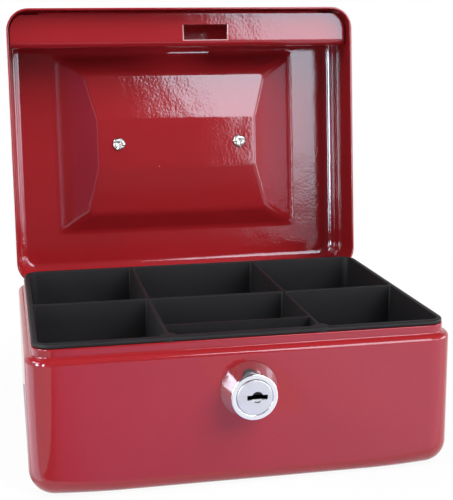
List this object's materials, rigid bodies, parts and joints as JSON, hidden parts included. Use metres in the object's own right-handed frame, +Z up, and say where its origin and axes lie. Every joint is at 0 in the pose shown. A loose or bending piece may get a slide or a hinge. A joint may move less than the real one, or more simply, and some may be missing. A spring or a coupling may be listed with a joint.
{
  "type": "cash box",
  "caption": "Small pressed-steel cash box with a hinged lid, lift-out coin tray, front cam lock and a fold-flat wire carrying handle in a lid recess.",
  "frame": {"origin": "centre of the base, on the face the box stands on", "axes": "+X to the box's right seen from the front, front with the lock towards -Y, +Z up"},
  "size_m": [0.152, 0.1677, 0.1657],
  "materials": {
    "red_paint": "gloss stove enamel with a light orange peel",
    "black_plastic": "fine matt moulding grain",
    "chrome": "bright plated",
    "satin_steel": "satin turned face",
    "zinc_steel": "bright zinc plate"
  },
  "bodies": {
    "box": {"body_shell": "red_paint", "hinge_body_leaf_left": "red_paint", "hinge_body_leaf_right": "red_paint", "hinge_pin_left": "zinc_steel", "hinge_pin_right": "zinc_steel", "lock_barrel": "chrome", "lock_washer": "zinc_steel", "lock_nut": "zinc_steel"},
    "lid": {"lid_shell": "red_paint", "lock_strip": "red_paint", "hinge_lid_leaf_left": "red_paint", "hinge_lid_leaf_right": "red_paint", "handle_post_left": "zinc_steel", "handle_post_right": "zinc_steel"},
    "handle": {"handle_bail": "chrome"},
    "lock_core": {"lock_plug": "satin_steel", "lock_hook": "zinc_steel", "hook_washer": "zinc_steel", "hook_screw": "zinc_steel"},
    "tray": {"coin_tray": "black_plastic"}
  },
  "joints": [
    {"name": "lid_hinge", "type": "hinge", "parent": "box", "child": "lid", "pos_m": [0, 0.0584, 0.0488], "axis": [-1, 0, 0], "range_deg": [-95, 0]},
    {"name": "handle_swing", "type": "hinge", "parent": "lid", "child": "handle", "pos_m": [0, 0.09142, 0.10494], "axis": [1, 0, 0], "range_deg": [-5, 170]},
    {"name": "key_turn", "type": "hinge", "parent": "box", "child": "lock_core", "pos_m": [0, -0.059, 0.0352], "axis": [0, -1, 0], "range_deg": [0, 90]},
    {"name": "tray_lift", "type": "slide", "parent": "box", "child": "tray", "axis": [0, 0, 1], "range_m": [0, 0.1]}
  ]
}
